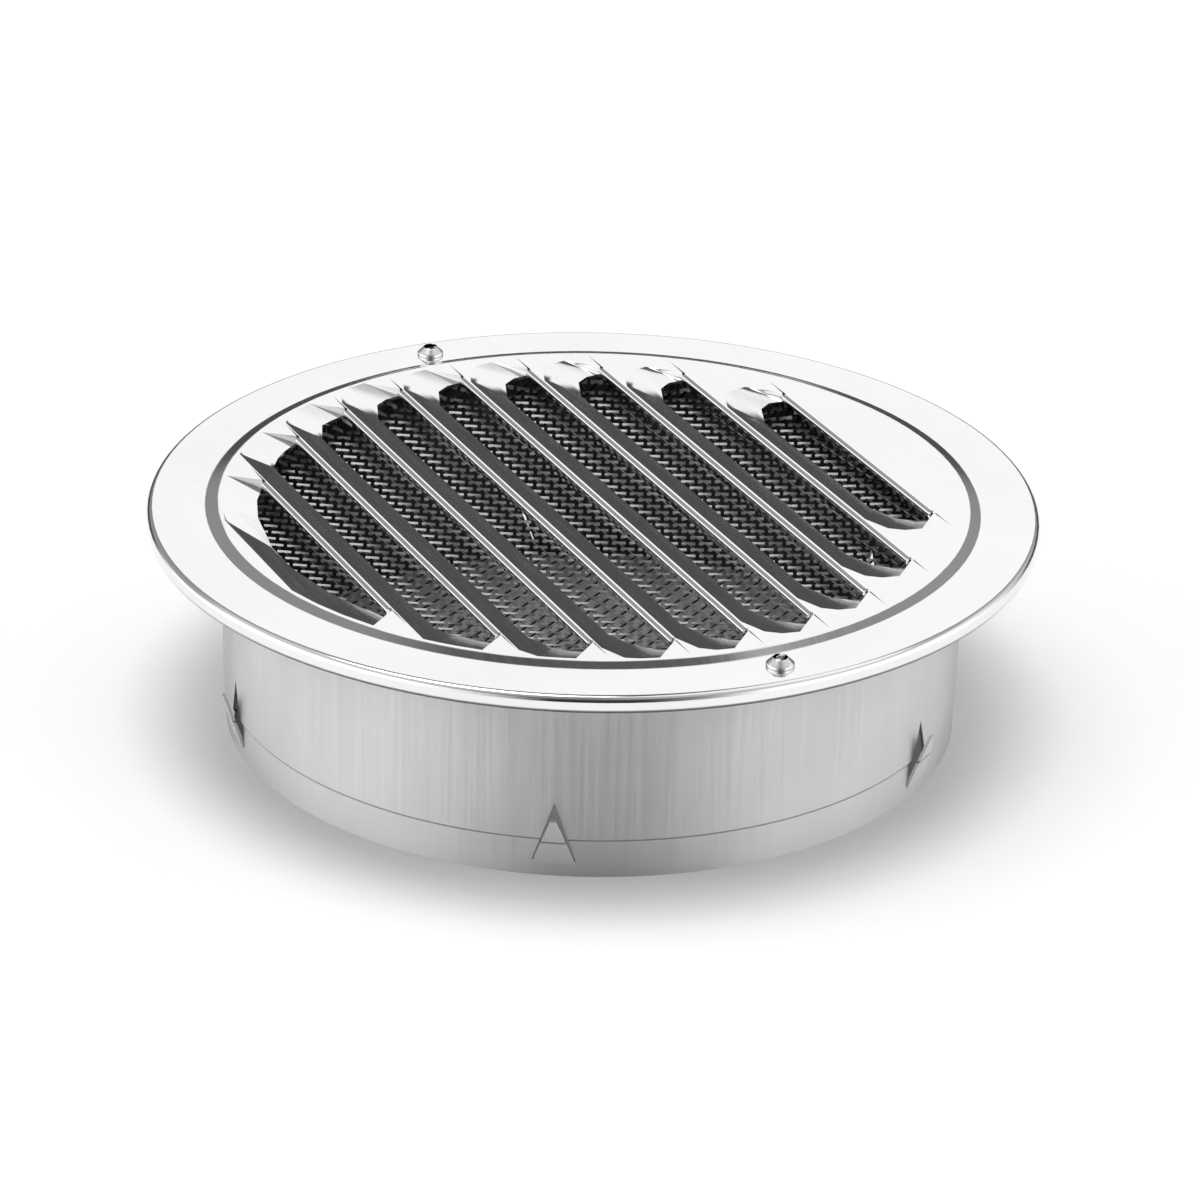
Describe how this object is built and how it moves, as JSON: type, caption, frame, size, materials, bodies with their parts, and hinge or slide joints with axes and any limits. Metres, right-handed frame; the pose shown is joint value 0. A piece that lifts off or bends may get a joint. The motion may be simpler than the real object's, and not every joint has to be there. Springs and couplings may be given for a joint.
{
  "type": "round vent cover",
  "caption": "Round stainless vent cover with pressed louvres, an insect screen behind them and a short collar with spring tabs that push into a duct.",
  "frame": {"origin": "centre of the collar's foot, the plane the cover stands on", "axes": "+Z along the collar's axis out of the louvred face, X along the louvres, +Y towards the louvre nearest the picture's right side"},
  "size_m": [0.178, 0.178, 0.0474],
  "materials": {
    "plate_steel": "bright, nearly polished",
    "screen_steel": "dull mill finish",
    "collar_steel": "satin, grain along the axis",
    "screw_steel": "bright"
  },
  "bodies": {
    "root": {"face_plate": "plate_steel", "insect_screen": "screen_steel", "duct_collar": "collar_steel", "cover_screws": "screw_steel"}
  },
  "joints": []
}
